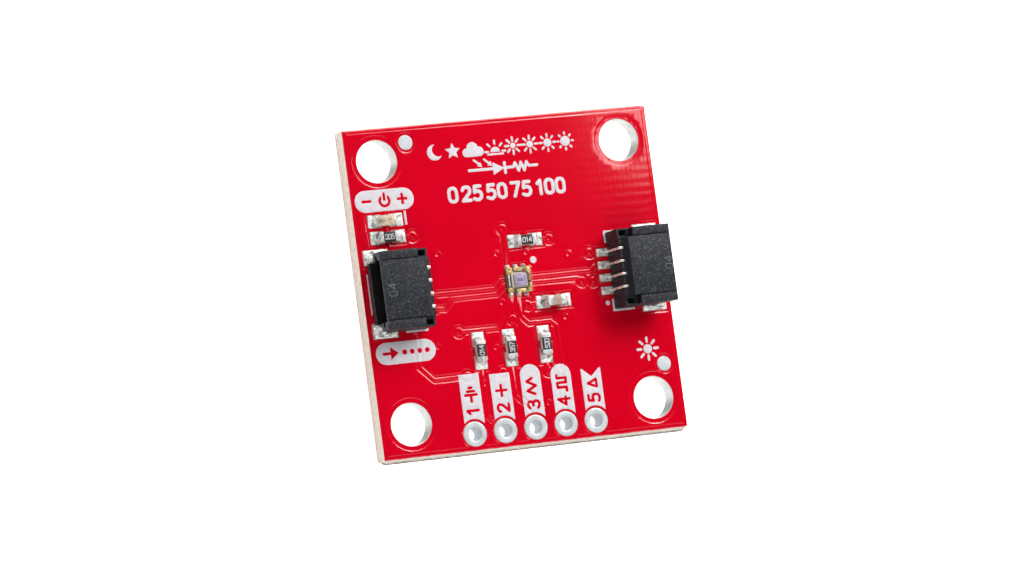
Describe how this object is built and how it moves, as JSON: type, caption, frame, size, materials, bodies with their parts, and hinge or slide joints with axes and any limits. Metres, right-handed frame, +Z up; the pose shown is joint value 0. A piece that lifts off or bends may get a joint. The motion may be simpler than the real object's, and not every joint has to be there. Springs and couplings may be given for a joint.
{
  "type": "light sensor module",
  "caption": "Small square red circuit board with a clear light sensor at its centre, two black side-entry wire sockets, a row of plated header holes and corner mounting holes.",
  "frame": {"origin": "centre of the board on its underside", "axes": "+Z up through the component side, +X towards the right-hand wire socket, +Y from the header holes to the far edge"},
  "size_m": [0.0254, 0.0259, 0.0046],
  "materials": {
    "laminate": "sawn glass-epoxy edge, satin",
    "copper": "etched foil under the mask",
    "mask": "glossy translucent red film",
    "print": "white screen print, satin",
    "plating": "hot-tinned, bright satin",
    "solder": "reflowed solder, bright",
    "housing": "moulded, finely mottled satin",
    "contact": "tinned strip",
    "window": "clear moulded resin",
    "leadframe": "gilt, satin",
    "die": "polished chip, purple-grey",
    "ceramic": "white alumina",
    "glaze": "black over-glaze with a plain code",
    "capacitor": "fired brown ceramic",
    "terminal": "tinned end caps",
    "led_base": "pale board",
    "led_lens": "milky cream resin",
    "led_chip": "small amber chip"
  },
  "bodies": {
    "root": {"header_plating_1": "plating", "header_plating_2": "plating", "header_plating_3": "plating", "header_plating_4": "plating", "header_plating_5": "plating", "capacitor_body": "capacitor", "capacitor_ends": "terminal", "copper_bottom": "copper", "copper_top": "copper", "fiducial_tin": "plating", "laminate": "laminate", "led_base": "led_base", "led_chip": "led_chip", "led_ends": "terminal", "led_lens": "led_lens", "left_contact_1": "contact", "left_contact_2": "contact", "left_contact_3": "contact", "left_contact_4": "contact", "left_socket_housing": "housing", "left_tab_lower": "contact", "left_tab_upper": "contact", "legend_print": "print", "mask_bottom": "mask", "mask_top": "mask", "resistor_1_body": "ceramic", "resistor_1_coat": "glaze", "resistor_1_ends": "terminal", "resistor_2_body": "ceramic", "resistor_2_coat": "glaze", "resistor_2_ends": "terminal", "resistor_3_body": "ceramic", "resistor_3_coat": "glaze", "resistor_3_ends": "terminal", "resistor_4_body": "ceramic", "resistor_4_coat": "glaze", "resistor_4_ends": "terminal", "resistor_5_body": "ceramic", "resistor_5_coat": "glaze", "resistor_5_ends": "terminal", "right_contact_1": "contact", "right_contact_2": "contact", "right_contact_3": "contact", "right_contact_4": "contact", "right_socket_housing": "housing", "right_tab_lower": "contact", "right_tab_upper": "contact", "sensor_die": "die", "sensor_leadframe": "leadframe", "sensor_window": "window", "solder_capacitor": "solder", "solder_led": "solder", "solder_left_socket": "solder", "solder_resistors": "solder", "solder_right_socket": "solder", "solder_sensor": "solder"}
  },
  "joints": []
}
